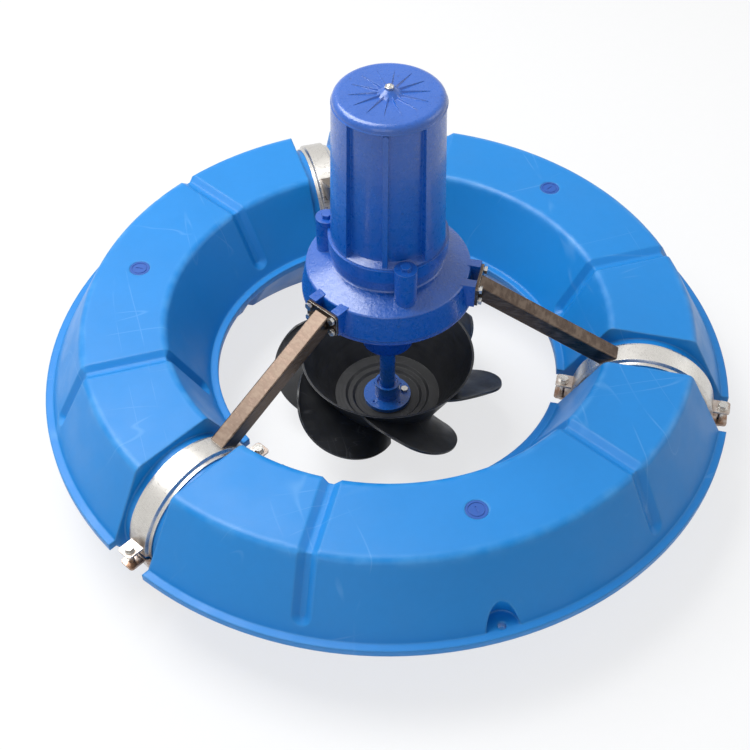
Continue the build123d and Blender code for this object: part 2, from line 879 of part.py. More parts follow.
def gearbox_case():
    """Cast case, open below, with pads for the arms and bosses for the motor."""
    body = spun(
        [
            (0, case_bottom),
            (case_lower_radius, case_bottom),
            (case_shoulder_radius, case_shoulder_height),
            (case_seat_radius, case_cone_top),
            (case_seat_radius, case_top),
            (0, case_top),
        ],
        case_shoulder_round,
        [(case_shoulder_radius, case_shoulder_height), (case_seat_radius, case_cone_top)],
    )
    for pad in case_pads():
        body += pad
    for azimuth in motor_boss_azimuths():
        body += turned(
            Pos(motor_boss_circle, 0, 0) * disc(motor_boss_radius, case_shoulder_height, case_top), azimuth
        )
    body += turned(
        Pos(fill_plug_radius_position, 0, 0)
        * disc(oil_boss_radius, case_cavity_top, fill_boss_top),
        fill_plug_azimuth,
    )
    body -= disc(case_cavity_radius, case_bottom, case_cavity_top)
    body -= ring(
        case_seat_radius - case_seat_wall,
        case_bearing_boss_radius,
        case_cavity_top + case_roof_thickness,
        case_top,
    )
    body -= disc(rotor_bearing_radius, rotor_lower_bearing_bottom, case_top)
    body -= disc(
        stage_one_module * stage_one_pinion_teeth / 2 + stage_gap, case_cavity_top, case_top
    )
    body -= counter_place * disc(
        counter_bearing_radius, case_cavity_top, case_cavity_top + counter_bearing_width
    )
    for azimuth in motor_boss_azimuths():
        body -= turned(
            Pos(motor_boss_circle, 0, 0) * disc(motor_bolt_radius, case_top - thread_depth, case_top),
            azimuth,
        )
    for azimuth in clamp_azimuths:
        for place in plate_bolt_places():
            hole = place * disc(
                plate_bolt_radius, -arm_plate_thickness - thread_depth, -arm_plate_thickness
            )
            body -= turned(hole, azimuth)
    for azimuth in cover_bolt_azimuths():
        body -= turned(
            Pos(cover_bolt_circle, 0, 0) * disc(cover_bolt_radius, case_bottom, case_bottom + thread_depth),
            azimuth,
        )
    body -= turned(
        Pos(fill_plug_radius_position, 0, 0) * disc(oil_plug_radius, case_cavity_top, fill_boss_top),
        fill_plug_azimuth,
    )
    return body


def cover_bolt_azimuths():
    """Azimuths of the bolts that hold the cover from below."""
    return [360 / cover_bolt_count * i for i in range(cover_bolt_count)]


def gearbox_cover():
    """Bottom cover with the bearing neck of the output shaft."""
    root_drop = cover_neck_root_radius - cover_neck_radius
    body = spun(
        [
            (0, cover_top),
            (case_lower_radius, cover_top),
            (case_lower_radius, cover_bottom),
            (cover_neck_root_radius, cover_bottom),
            (cover_neck_radius, cover_bottom - 2 * root_drop),
            (cover_neck_radius, cover_neck_bottom),
            (0, cover_neck_bottom),
        ],
        cover_edge_round,
        [(case_lower_radius, cover_bottom), (cover_neck_radius, cover_neck_bottom)],
    )
    pocket_bottom = counter_lower_bearing_bottom - counter_pocket_floor
    body += counter_place * disc(
        counter_bearing_radius + counter_pocket_floor, pocket_bottom, cover_bottom
    )
    drain_boss = Pos(polar(drain_plug_radius_position, drain_plug_azimuth))
    body += drain_boss * disc(oil_boss_radius, cover_bottom - drain_boss_depth, cover_bottom)
    body -= drain_boss * disc(oil_plug_radius, cover_bottom - drain_boss_depth, cover_top)
    body -= counter_place * disc(counter_bearing_radius, counter_lower_bearing_bottom, cover_top)
    body -= disc(output_bearing_radius, output_upper_bearing_bottom, cover_top)
    body -= disc(output_bearing_radius - hull_wall, cover_neck_bottom, cover_top)
    lower_bearing_top = output_lower_bearing_bottom + output_bearing_width
    body -= disc(output_bearing_radius, cover_neck_bottom, lower_bearing_top)
    for azimuth in cover_bolt_azimuths():
        body -= turned(
            Pos(cover_bolt_circle, 0, 0)
            * disc(cover_bolt_radius + bolt_clearance, cover_bottom, cover_top),
            azimuth,
        )
    return body


def cover_gasket():
    """Flat gasket between the case and its cover."""
    body = ring(case_lower_radius - gasket_thickness, case_cavity_radius, cover_top, case_bottom)
    for azimuth in cover_bolt_azimuths():
        body -= turned(
            Pos(cover_bolt_circle, 0, 0) * disc(cover_bolt_radius + bolt_clearance, cover_top, case_bottom),
            azimuth,
        )
    return body


def cover_bolts():
    """Bolts that hold the cover from below."""
    length = cover_thickness + gasket_thickness + thread_depth - bolt_end_gap
    bolt = hex_bolt(cover_bolt_radius, length, cover_bolt_head_flats, cover_bolt_head_height)
    flipped = Pos(cover_bolt_circle, 0, cover_bottom) * Rot(180, 0, 0) * bolt
    return [turned(flipped, azimuth) for azimuth in cover_bolt_azimuths()]


def oil_plug():
    """Hexagon plug whose head sits on z = 0."""
    return hex_bolt(oil_plug_radius, oil_plug_length, oil_plug_head_flats, oil_plug_head_height)


# Motor

def motor_wall_radius(height):
    """Outer radius of the drafted motor wall at a height."""
    share = (height - motor_flange_top) / (motor_shoulder - motor_flange_top)
    return motor_base_radius + (motor_shoulder_radius - motor_base_radius) * share


def motor_panels():
    """Three recessed side panels, each with a rib left down its middle."""
    reach = 2 * motor_flange_radius
    foot = motor_flange_top + motor_panel_foot_rise
    foot_slope = motor_panel_foot_rise / (motor_flange_radius - motor_panel_foot_radius)
    sleeve = spun(
        [
            (motor_panel_foot_radius, foot),
            (reach, foot - foot_slope * (reach - motor_panel_foot_radius)),
            (reach, motor_shoulder),
            (motor_panel_head_radius, motor_shoulder),
        ]
    )
    half_angle = math.radians(motor_panel_angle / 2)
    corner = (2 * reach * math.cos(half_angle), 2 * reach * math.sin(half_angle))
    wedge_outline = Polyline((0, 0), corner, (corner[0], -corner[1]), close=True)
    wedge = extrude(make_face(wedge_outline), motor_top)
    panel = (sleeve & wedge) - motor_rib()
    return [turned(panel, motor_panel_azimuth + segment_angle * i) for i in range(segment_count)]


def motor_rib():
    """Upright rib with a rounded head, along azimuth 0."""
    head = motor_shoulder - motor_rib_drop - motor_rib_width / 2
    straight = Pos(motor_flange_radius / 2, 0, head / 2) * Box(motor_flange_radius, motor_rib_width, head)
    rounded = Pos(0, 0, head) * Rot(0, 90, 0) * disc(motor_rib_width / 2, 0, motor_flange_radius)
    wall = spun(
        [
            (0, case_top),
            (motor_base_radius - motor_rib_sink, case_top),
            (motor_base_radius - motor_rib_sink, motor_flange_top),
            (motor_shoulder_radius - motor_rib_sink, motor_shoulder),
            (0, motor_shoulder),
        ]
    )
    return (straight + rounded) & wall


def crown_ray_section(radius, width, height):
    """Triangular section of a crown ray at a radius along azimuth 0."""
    plane = Plane(origin=(radius, 0, motor_top), x_dir=(0, 1, 0), z_dir=(1, 0, 0))
    left_foot = (-width / 2, -crown_ray_height)
    right_foot = (width / 2, -crown_ray_height)
    outline = Polyline(left_foot, right_foot, (0, height), close=True)
    return plane * make_face(outline)


def crown_rays():
    """Sharp rays that run out and fade away from the middle of the motor's top."""
    root = crown_ray_section(crown_ray_root_radius, 2 * crown_ray_width, crown_ray_height)
    tip_width = crown_ray_width * crown_ray_tip_share
    tip = crown_ray_section(crown_ray_tip_radius, tip_width, crown_ray_height * crown_ray_tip_share)
    ray = loft([root, tip])
    return [turned(ray, crown_ray_azimuth + 360 / crown_ray_count * i) for i in range(crown_ray_count)]


def motor_cover():
    """Cast motor cover with side panels, bolt bosses and a rayed crown."""
    crown_foot = motor_shoulder + motor_step_height
    body = spun(
        [
            (0, case_top),
            (motor_flange_radius, case_top),
            (motor_flange_radius, motor_flange_top),
            (motor_base_radius, motor_flange_top),
            (motor_shoulder_radius, motor_shoulder),
            (motor_crown_radius, crown_foot),
            (motor_crown_radius, motor_top),
            (0, motor_top),
        ],
        motor_crown_round,
        [(motor_crown_radius, motor_top)],
    )
    for panel in motor_panels():
        body -= panel
    mound_top = motor_top + crown_mound_height
    body += spun(
        [
            (0, motor_top),
            (crown_mound_radius, motor_top),
            (crown_mound_top_radius, mound_top),
            (0, mound_top),
        ]
    )
    for ray in crown_rays():
        body += ray
    for azimuth in motor_boss_azimuths():
        boss = Pos(motor_boss_circle, 0, 0) * disc(motor_boss_radius, case_top, motor_boss_top)
        body += turned(boss, azimuth)
    body += gland_place() * disc(gland_boss_radius, -gland_thread_length, gland_boss_length)
    cavity = disc(motor_cavity_radius, case_top, motor_cavity_top)
    cavity -= disc(upper_bearing_boss_radius, upper_bearing_boss_bottom, motor_cavity_top)
    cavity += disc(
        rotor_bearing_radius, upper_bearing_boss_bottom, upper_bearing_boss_bottom + rotor_bearing_width
    )
    body -= cavity
    body -= gland_place() * disc(gland_thread_radius, -2 * gland_thread_length, gland_boss_length)
    for azimuth in motor_boss_azimuths():
        hole = Pos(motor_boss_circle, 0, 0) * disc(
            motor_bolt_radius + bolt_clearance, case_top, motor_boss_top
        )
        body -= turned(hole, azimuth)
    return body


def motor_bolts():
    """Long bolts that hold the motor down on the gearbox."""
    length = motor_boss_height + thread_depth - bolt_end_gap
    bolt = hex_bolt(motor_bolt_radius, length, motor_bolt_head_flats, motor_bolt_head_height)
    return [
        turned(Pos(motor_boss_circle, 0, motor_boss_top) * bolt, azimuth)
        for azimuth in motor_boss_azimuths()
    ]


def cap_nut():
    """Domed stainless nut in the middle of the crown."""
    base = motor_top + crown_mound_height
    body = Pos(0, 0, base) * hex_prism(2 * cap_nut_radius, cap_nut_height / 2)
    dome = Pos(0, 0, base + cap_nut_height - cap_nut_radius) * Sphere(cap_nut_radius)
    return body + (dome & disc(cap_nut_radius, base, base + cap_nut_height))


def gland_place():
    """Place of the cable gland: its z axis points out of the motor wall."""
    radius = motor_wall_radius(gland_height)
    return Rot(0, 0, gland_azimuth) * Pos(radius, 0, gland_height) * Rot(0, 90, 0)


def cable_gland():
    """Gland body with a through bore for the cable."""
    body = disc(gland_thread_radius, gland_boss_length - gland_thread_length, gland_boss_length)
    body += Pos(0, 0, gland_boss_length) * hex_prism(gland_hex_flats, gland_hex_height)
    bottom = gland_boss_length - gland_thread_length
    body -= disc(gland_bore_radius, bottom, gland_boss_length + gland_hex_height)
    return gland_place() * body


def gland_nut():
    """Domed compression nut of the gland."""
    bottom = gland_boss_length + gland_hex_height
    body = disc(gland_nut_radius, bottom, bottom + gland_nut_height)
    rim = body.edges().sort_by(Axis.Z)[-1]
    body = fillet(rim, gland_nut_round)
    body -= disc(gland_bore_radius, bottom, bottom + gland_nut_height)
    return gland_place() * body


def stator_core():
    """Laminated stator core seated in the motor cover."""
    return ring(motor_cavity_radius, stator_bore_radius, stator_bottom, stator_bottom + stator_length)


def stator_windings():
    """End turns above and below the stator core."""
    lower = ring(winding_outer_radius, winding_inner_radius, stator_bottom - winding_height, stator_bottom)
    upper = Pos(0, 0, stator_length + winding_height) * lower
    return [lower, upper]


def rotor_core():
    """Rotor core on the motor shaft."""
    return ring(
        stator_bore_radius - rotor_air_gap,
        rotor_shaft_radius,
        stator_bottom,
        stator_bottom + stator_length,
    )


def rotor_shaft():
    """Motor shaft from the pinion to the upper bearing."""
    return disc(
        rotor_shaft_radius,
        stage_one_bottom,
        upper_bearing_boss_bottom + rotor_bearing_width - bearing_seat_margin,
    )


def counter_shaft():
    """Countershaft between its two bearings."""
    return counter_place * disc(
        counter_shaft_radius,
        counter_lower_bearing_bottom + running_clearance,
        counter_upper_bearing_bottom + counter_bearing_width - running_clearance,
    )


def output_shaft():
    """Output shaft from the output wheel down through the neck to the hub."""
    return disc(output_shaft_radius, shaft_foot, stage_two_top)


# Impeller

def bowl_outline_heights():
    """Inner surface of the bowl from the centre out to the rim as (radius, height)."""
    points = [(0, bowl_centre_height)]
    level = bowl_centre_height
    for radius in reversed(bowl_step_radii):
        points.append((radius - bowl_step_drop / 2, level))
        level += bowl_step_drop
        points.append((radius + bowl_step_drop / 2, level))
    points.append((bowl_floor_radius, bowl_floor_height))
    points.append((bowl_rim_radius, bowl_rim_height))
    return points


def bowl_outer_radius(height):
    """Radius of the bowl's outer cone at a height."""
    slope = (bowl_rim_radius - bowl_floor_radius) / (bowl_rim_height - bowl_floor_height)
    return bowl_floor_radius + bowl_wall + slope * (height - bowl_floor_height)


def impeller_bowl():
    """Open bowl with a stepped floor, bolted to the hub."""
    inner = bowl_outline_heights()
    steps_down = [(radius, height - bowl_wall) for radius, height in reversed(inner[:-2])]
    outer = [
        (bowl_rim_radius + bowl_wall, bowl_rim_height),
        (bowl_outer_radius(bowl_floor_height - bowl_wall), bowl_floor_height - bowl_wall),
    ]
    body = spun(inner + outer + steps_down)
    body -= disc(output_shaft_radius, 0, bowl_centre_height)
    for place in hub_bolt_places():
        body -= place * disc(hub_bolt_radius + bolt_clearance, 0, bowl_centre_height)
    return body


def hub_screw_places():
    """Places of the hub's countersunk screws about the shaft."""
    azimuths = [hub_first_screw_azimuth + 360 / hub_screw_count * i for i in range(hub_screw_count)]
    return [Pos(polar(hub_screw_circle, azimuth)) for azimuth in azimuths]


def hub_bolt_places():
    """Places of all screws and of the lock bolt in the hub's flange."""
    return hub_screw_places() + [Pos(polar(hub_lock_bolt_circle, hub_lock_bolt_azimuth))]


def screw_head(grow):
    """Countersunk head whose flat top is at z = 0."""
    depth = hub_screw_head_radius - hub_bolt_radius
    return Cone(
        hub_bolt_radius + grow,
        hub_screw_head_radius + grow,
        depth,
        align=(Align.CENTER, Align.CENTER, Align.MAX),
    )


def hub():
    """Hub with a flange on the bowl's floor and a collar round the shaft."""
    body = disc(hub_flange_radius, bowl_centre_height, hub_flange_top)
    body += disc(hub_collar_radius, hub_flange_top, hub_collar_top)
    body -= disc(output_shaft_radius, bowl_centre_height, hub_collar_top)
    body -= disc(hub_counterbore_radius, hub_collar_top - hub_counterbore_depth, hub_collar_top)
    for place in hub_bolt_places():
        body -= place * disc(hub_bolt_radius + bolt_clearance, bowl_centre_height, hub_flange_top)
    for place in hub_screw_places():
        body -= place * Pos(0, 0, hub_flange_top) * screw_head(bolt_clearance)
    return body


def hub_screws():
    """Countersunk socket screws through the hub flange and the bowl's floor."""
    length = hub_flange_thickness + bowl_wall + 2 * hub_bolt_head_height
    screw = screw_head(0) + disc(hub_bolt_radius, -length, 0)
    screw -= Pos(0, 0, -hub_screw_socket_depth) * hex_prism(
        hub_screw_socket_flats, hub_screw_socket_depth
    )
    return [place * Pos(0, 0, hub_flange_top) * screw for place in hub_screw_places()]


def hub_lock_bolt():
    """Single hexagon bolt that pins the hub to the bowl."""
    length = hub_flange_thickness + bowl_wall + 2 * hub_bolt_head_height
    bolt = hex_bolt(hub_bolt_radius, length, hub_bolt_head_flats, hub_bolt_head_height)
    return hub_bolt_places()[-1] * Pos(0, 0, hub_flange_top) * bolt


def hub_nuts():
    """Nuts under the bowl's floor."""
    nut = hex_nut(hub_bolt_radius, hub_bolt_head_flats, hub_bolt_head_height)
    height = bowl_centre_height - bowl_wall - hub_bolt_head_height
    return [place * Pos(0, 0, height) * nut for place in hub_bolt_places()]


def blade_point(share, reach):
    """Point of a blade's middle surface, share down its root and reach out to its edge."""
    height = blade_root_top + (blade_root_bottom - blade_root_top) * share
    root = bowl_outer_radius(height) - blade_root_sink
    width = (
        blade_top_width * (1 - share) ** 2
        + 2 * blade_belly_width * share * (1 - share)
        + blade_bottom_width * share**2
    )
    lead = blade_edge_lead * (1 - share)
    radius = root + (blade_root_sink + width) * reach
    azimuth = blade_root_angle * share + lead * reach
    return polar(radius, azimuth, height - blade_edge_drop * reach)


def bowl_envelope():
    """Bowl with its inside filled, used to seat what is fixed to its outside."""
    low = bowl_floor_height - bowl_wall
    return spun(
        [
            (0, low),
            (bowl_outer_radius(low), low),
            (bowl_rim_radius + bowl_wall, bowl_rim_height),
            (bowl_rim_radius + bowl_wall, bowl_rim_height + blade_belly_width),
            (0, bowl_rim_height + blade_belly_width),
        ]
    )


def blade():
    """Curved blade whose root is seated on the bowl, starting at azimuth 0."""
    steps = range(blade_stations)
    grid = [
        [blade_point(i / (blade_stations - 1), j / (blade_stations - 1)) for j in steps] for i in steps
    ]
    middle = Face.make_surface_from_array_of_points(grid)
    body = thicken(middle, blade_thickness / 2, both=True)
    return body - bowl_envelope()


def write(name, shape):
    """Write one node, as one solid or as a group of separate solids."""
    if isinstance(shape, list):
        shape = Compound(children=shape)
    export_step(shape, f"parts/{name}.step")


def build_floats():
    """Float segments with their plugs and seals."""
    segment = float_segment()
    for name, azimuth in zip(segment_names, segment_azimuths):
        write(f"float_{name}", turned(segment, azimuth))
    place = Pos(ring_middle_radius, 0, 0)
    write("filler_plugs", [turned(place * filler_plug(), azimuth) for azimuth in segment_azimuths])
    write("plug_seals", [turned(place * plug_seal(), azimuth) for azimuth in segment_azimuths])


def build_clamps():
    """Hoop clamps with their bolts and nuts."""
    upper = hoop_half(True)
    lower = hoop_half(False)
    bolts = []
    nuts = []
    for name, azimuth in zip(clamp_names, clamp_azimuths):
        plane = clamp_plane(azimuth)
        write(f"hoop_upper_{name}", plane * upper)
        write(f"hoop_lower_{name}", plane * lower)
        bolts += [plane * bolt for bolt in hoop_bolt_set()]
        nuts += [plane * nut for nut in hoop_nut_set()]
    write("hoop_bolts", bolts)
    write("hoop_nuts", nuts)


def build_arms():
    """Arms with their plates and bolts."""
    tube = arm()
    plate = arm_plate()
    bolts = []
    for name, azimuth in zip(clamp_names, clamp_azimuths):
        write(f"arm_{name}", turned(tube, azimuth))
        write(f"arm_plate_{name}", turned(plate, azimuth))
        bolts += [turned(place * plate_bolt(), azimuth) for place in plate_bolt_places()]
    write("plate_bolts", bolts)


def build_gearbox():
    """Gearbox case, cover, gears, shafts and bearings."""
    write("gearbox_case", gearbox_case())
    write("gearbox_cover", gearbox_cover())
    write("cover_gasket", cover_gasket())
    write("cover_bolts", cover_bolts())
    fill_place = Pos(polar(fill_plug_radius_position, fill_plug_azimuth, fill_boss_top))
    write("oil_fill_plug", fill_place * oil_plug())
    drain_place = Pos(
        polar(drain_plug_radius_position, drain_plug_azimuth, cover_bottom - drain_boss_depth)
    )
    write("oil_drain_plug", drain_place * Rot(180, 0, 0) * oil_plug())
    write("motor_pinion", motor_pinion())
    write("counter_wheel", counter_wheel())
    write("counter_pinion", counter_pinion())
    write("output_wheel", output_wheel())
    write("counter_shaft", counter_shaft())
    write("output_shaft", output_shaft())
    counter_lower = bearing(
        counter_bearing_radius, counter_shaft_radius, counter_bearing_width, counter_lower_bearing_bottom
    )
    counter_upper = bearing(
        counter_bearing_radius, counter_shaft_radius, counter_bearing_width, counter_upper_bearing_bottom
    )
    write("counter_bearing_lower", counter_place * counter_lower)
    write("counter_bearing_upper", counter_place * counter_upper)
    for name, bottom in (
        ("lower", output_lower_bearing_bottom),
        ("upper", output_upper_bearing_bottom),
    ):
        piece = bearing(output_bearing_radius, output_shaft_radius, output_bearing_width, bottom)
        write(f"output_bearing_{name}", piece)
    write("output_seal", output_seal())


def build_motor():
    """Motor cover and what is inside it."""
    write("motor_cover", motor_cover())
    write("motor_bolts", motor_bolts())
    write("cap_nut", cap_nut())
    write("cable_gland", cable_gland())
    write("gland_nut", gland_nut())
    write("stator_core", stator_core())
    write("stator_windings", stator_windings())
    write("rotor_core", rotor_core())
    write("rotor_shaft", rotor_shaft())
    for name, bottom in (
        ("lower", rotor_lower_bearing_bottom),
        ("upper", upper_bearing_boss_bottom),
    ):
        piece = bearing(rotor_bearing_radius, rotor_shaft_radius, rotor_bearing_width, bottom)
        write(f"motor_bearing_{name}", piece)


def build_impeller():
    """Bowl, hub and blades."""
    write("impeller_bowl", impeller_bowl())
    write("hub", hub())
    write("hub_screws", hub_screws())
    write("hub_lock_bolt", hub_lock_bolt())
    write("hub_nuts", hub_nuts())
    piece = blade()
    for index in range(blade_count):
        azimuth = first_blade_azimuth + 360 / blade_count * index
        write(f"blade_{index + 1}", turned(piece, azimuth))


build_floats()
build_clamps()
build_arms()
build_gearbox()
build_motor()
build_impeller()
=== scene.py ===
import json
import math

import bpy
import numpy as np
from mathutils import Matrix, Vector

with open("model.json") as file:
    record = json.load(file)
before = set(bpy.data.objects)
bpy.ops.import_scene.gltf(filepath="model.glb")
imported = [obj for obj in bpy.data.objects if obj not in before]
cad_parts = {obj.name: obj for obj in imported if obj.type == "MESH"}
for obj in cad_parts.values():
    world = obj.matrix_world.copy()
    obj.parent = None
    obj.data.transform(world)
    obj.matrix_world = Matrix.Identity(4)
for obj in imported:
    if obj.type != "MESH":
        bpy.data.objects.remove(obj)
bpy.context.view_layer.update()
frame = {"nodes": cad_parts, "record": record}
nodes = frame["nodes"]

# Sizes shared with the part, in metres
ring_radius = 0.650
ring_bore_radius = 0.326
ring_middle_radius = 0.488
hull_height = 0.276
deck_inner_radius = 0.412
deck_outer_radius = 0.566
seam_height = 0.138
neck_height = 0.139
clamp_azimuths = {"right": -30.0, "rear": 90.0, "left": 210.0}
hoop_outer_radius = 0.133
hoop_channel_width = 0.038
arm_size = 0.032
arm_corner = 0.003
arm_plate_face = 0.170
arm_top_at_plate = 0.384
arm_top_at_hoop = 0.269
arm_hoop_reach_radius = 0.408
motor_top = 0.754
case_shoulder_height = 0.396
bowl_rim_radius = 0.163
bowl_rim_height = 0.157
bowl_floor_height = 0.046
hub_flange_top = 0.044

# The photograph's viewing angle
image_width = 750
camera_distance = 2.5398
camera_elevation = 46.35
camera_azimuth = -107.4
camera_roll = 0.007
camera_target = Vector((0.0, 0.0, 0.130))
focal_pixels = 1307.89
principal_x = 387.5
principal_y = 362.74
sensor_width = 36.0


def srgb(red, green, blue):
    """Linear colour of a screen colour given as 0 to 255 values."""
    values = np.array([red, green, blue]) / 255
    linear = np.where(values <= 0.04045, values / 12.92, ((values + 0.055) / 1.055) ** 2.4)
    return (*[float(value) for value in linear], 1.0)


class Tree:
    """Adds linked nodes to one shader tree."""

    def __init__(self, tree):
        self.tree = tree

    def add(self, kind, values=None, **settings):
        """New node with its settings and its inputs filled by value or by link."""
        node = self.tree.nodes.new(kind)
        for name, value in settings.items():
            setattr(node, name, value)
        for key, value in (values or {}).items():
            self.fill(node.inputs[key], value)
        return node

    def fill(self, socket, value):
        """Link an output to the socket, or set its plain value."""
        if isinstance(value, bpy.types.NodeSocket):
            self.tree.links.new(value, socket)
        else:
            socket.default_value = value

    def math(self, operation, first, second=0.0, third=0.0):
        """Output of a Math node."""
        return self.add(
            "ShaderNodeMath", {0: first, 1: second, 2: third}, operation=operation
        ).outputs[0]

    def vector(self, operation, first, second=(0.0, 0.0, 0.0)):
        """Node of a Vector Math operation."""
        return self.add("ShaderNodeVectorMath", {0: first, 1: second}, operation=operation)

    def spread(self, value, low, high, to_low=0.0, to_high=1.0):
        """Value carried smoothly from one range to another and kept inside it."""
        return self.add(
            "ShaderNodeMapRange",
            {"Value": value, "From Min": low, "From Max": high, "To Min": to_low, "To Max": to_high},
            interpolation_type="SMOOTHSTEP",
        ).outputs["Result"]

    def blend(self, share, first, second, kind="MIX"):
        """Colour between two colours."""
        node = self.add("ShaderNodeMix", data_type="RGBA", blend_type=kind)
        self.fill(node.inputs["Factor"], share)
        self.fill(node.inputs[6], first)
        self.fill(node.inputs[7], second)
        return node.outputs[2]

    def noise(self, place, scale, detail=3.0, roughness=0.5):
        """Grey noise at a scale per metre."""
        return self.add(
            "ShaderNodeTexNoise",
            {"Vector": place, "Scale": scale, "Detail": detail, "Roughness": roughness},
        ).outputs["Fac"]

    def cells(self, place, scale, feature="F1"):
        """Distance field of scattered points at a scale per metre."""
        return self.add(
            "ShaderNodeTexVoronoi", {"Vector": place, "Scale": scale}, feature=feature
        ).outputs["Distance"]


def new_group(name, inputs, outputs):
    """Empty shader node group with named inputs and outputs."""
    group = bpy.data.node_groups.new(name, "ShaderNodeTree")
    for socket_name, kind, value in inputs:
        socket = group.interface.new_socket(socket_name, in_out="INPUT", socket_type=kind)
        if value is not None:
            socket.default_value = value
    for socket_name, kind in outputs:
        group.interface.new_socket(socket_name, in_out="OUTPUT", socket_type=kind)
    tree = Tree(group)
    start = tree.add("NodeGroupInput")
    end = tree.add("NodeGroupOutput")
    return group, tree, start.outputs, end.inputs


VECTOR = "NodeSocketVector"
VALUE = "NodeSocketFloat"
COLOUR = "NodeSocketColor"


def polar_group():
    """Radius from the Z axis, turn about it as a share of a circle, and height."""
    group, tree, given, made = new_group(
        "polar_place",
        [("Place", VECTOR, None)],
        [("Radius", VALUE), ("Turn", VALUE), ("Height", VALUE)],
    )
    parts = tree.add("ShaderNodeSeparateXYZ", {0: given["Place"]})
    across = tree.math("POWER", parts.outputs["X"], 2.0)
    along = tree.math("POWER", parts.outputs["Y"], 2.0)
    tree.fill(made["Radius"], tree.math("SQRT", tree.math("ADD", across, along)))
    angle = tree.math("ARCTAN2", parts.outputs["Y"], parts.outputs["X"])
    tree.fill(made["Turn"], tree.math("DIVIDE", angle, 2 * math.pi))
    tree.fill(made["Height"], parts.outputs["Z"])
    return group


def band_group():
    """Mask that is 1 where a value is at a centre and fades to 0 a width away."""
    group, tree, given, made = new_group(
        "band",
        [("Value", VALUE, 0.0), ("Centre", VALUE, 0.0), ("Width", VALUE, 0.01)],
        [("Mask", VALUE)],
    )
    away = tree.math("ABSOLUTE", tree.math("SUBTRACT", given["Value"], given["Centre"]))
    share = tree.math("DIVIDE", away, given["Width"])
    tree.fill(made["Mask"], tree.spread(share, 0.0, 1.0, 1.0, 0.0))
    return group


def scratch_group():
    """Sparse fine scratches: stretched noise cut to thin lines and thinned by a second noise."""
    group, tree, given, made = new_group(
        "fine_scratches",
        [("Place", VECTOR, None), ("Scale", VALUE, 60.0), ("Amount", VALUE, 0.5)],
        [("Mask", VALUE)],
    )
    stretched = tree.vector("MULTIPLY", given["Place"], (1.0, 0.12, 0.35)).outputs[0]
    crossed = tree.vector("MULTIPLY", given["Place"], (0.15, 1.0, 0.30)).outputs[0]
    lines = []
    for place in (stretched, crossed):
        value = tree.noise(place, given["Scale"], 2.0, 0.6)
        near = tree.math("ABSOLUTE", tree.math("SUBTRACT", value, 0.5))
        lines.append(tree.spread(near, 0.0, 0.006, 1.0, 0.0))
    both = tree.math("MAXIMUM", lines[0], lines[1])
    patches = tree.spread(tree.noise(given["Place"], 9.0, 2.0), 0.48, 0.66)
    tree.fill(
        made["Mask"], tree.math("MULTIPLY", tree.math("MULTIPLY", both, patches), given["Amount"])
    )
    return group


def cast_group():
    """Sand-cast skin: coarse lumps, small grains and scattered pits, as a height and a pit mask."""
    group, tree, given, made = new_group(
        "cast_skin",
        [("Place", VECTOR, None), ("Grain", VALUE, 260.0), ("Lumps", VALUE, 55.0)],
        [("Height", VALUE), ("Pits", VALUE)],
    )
    grain = tree.noise(given["Place"], given["Grain"], 4.0, 0.62)
    lumps = tree.noise(given["Place"], given["Lumps"], 3.0, 0.55)
    pebbles = tree.cells(given["Place"], given["Grain"], "SMOOTH_F1")
    pits = tree.spread(tree.cells(given["Place"], given["Lumps"]), 0.0, 0.22, 1.0, 0.0)
    pit_gate = tree.spread(tree.noise(given["Place"], given["Lumps"], 1.0), 0.55, 0.70)
    pit_mask = tree.math("MULTIPLY", pits, pit_gate)
    body = tree.math("ADD", tree.math("MULTIPLY", grain, 0.55), tree.math("MULTIPLY", lumps, 0.9))
    body = tree.math("ADD", body, tree.math("MULTIPLY", pebbles, -0.25))
    tree.fill(made["Height"], tree.math("SUBTRACT", body, tree.math("MULTIPLY", pit_mask, 0.5)))
    tree.fill(made["Pits"], pit_mask)
    return group


def mottle_group():
    """Soft colour variation: a colour scaled a little up and down by broad and fine noise."""
    group, tree, given, made = new_group(
        "mottle",
        [
            ("Colour", COLOUR, None),
            ("Place", VECTOR, None),
            ("Scale", VALUE, 8.0),
            ("Depth", VALUE, 0.1),
        ],
        [("Colour", COLOUR)],
    )
    broad = tree.noise(given["Place"], given["Scale"], 3.0)
    fine_scale = tree.math("MULTIPLY", given["Scale"], 14.0)
    fine = tree.noise(given["Place"], fine_scale, 2.0)
    both = tree.math("ADD", tree.math("MULTIPLY", broad, 0.7), tree.math("MULTIPLY", fine, 0.3))
    offset = tree.math("SUBTRACT", both, 0.5)
    value = tree.math("MULTIPLY_ADD", offset, tree.math("MULTIPLY", given["Depth"], 2.0), 1.0)
    scaled = tree.add("ShaderNodeVectorMath", {0: given["Colour"]}, operation="SCALE")
    tree.fill(scaled.inputs["Scale"], value)
    tree.fill(made["Colour"], scaled.outputs[0])
    return group


polar_place = polar_group()
band = band_group()
fine_scratches = scratch_group()
cast_skin = cast_group()
mottle = mottle_group()


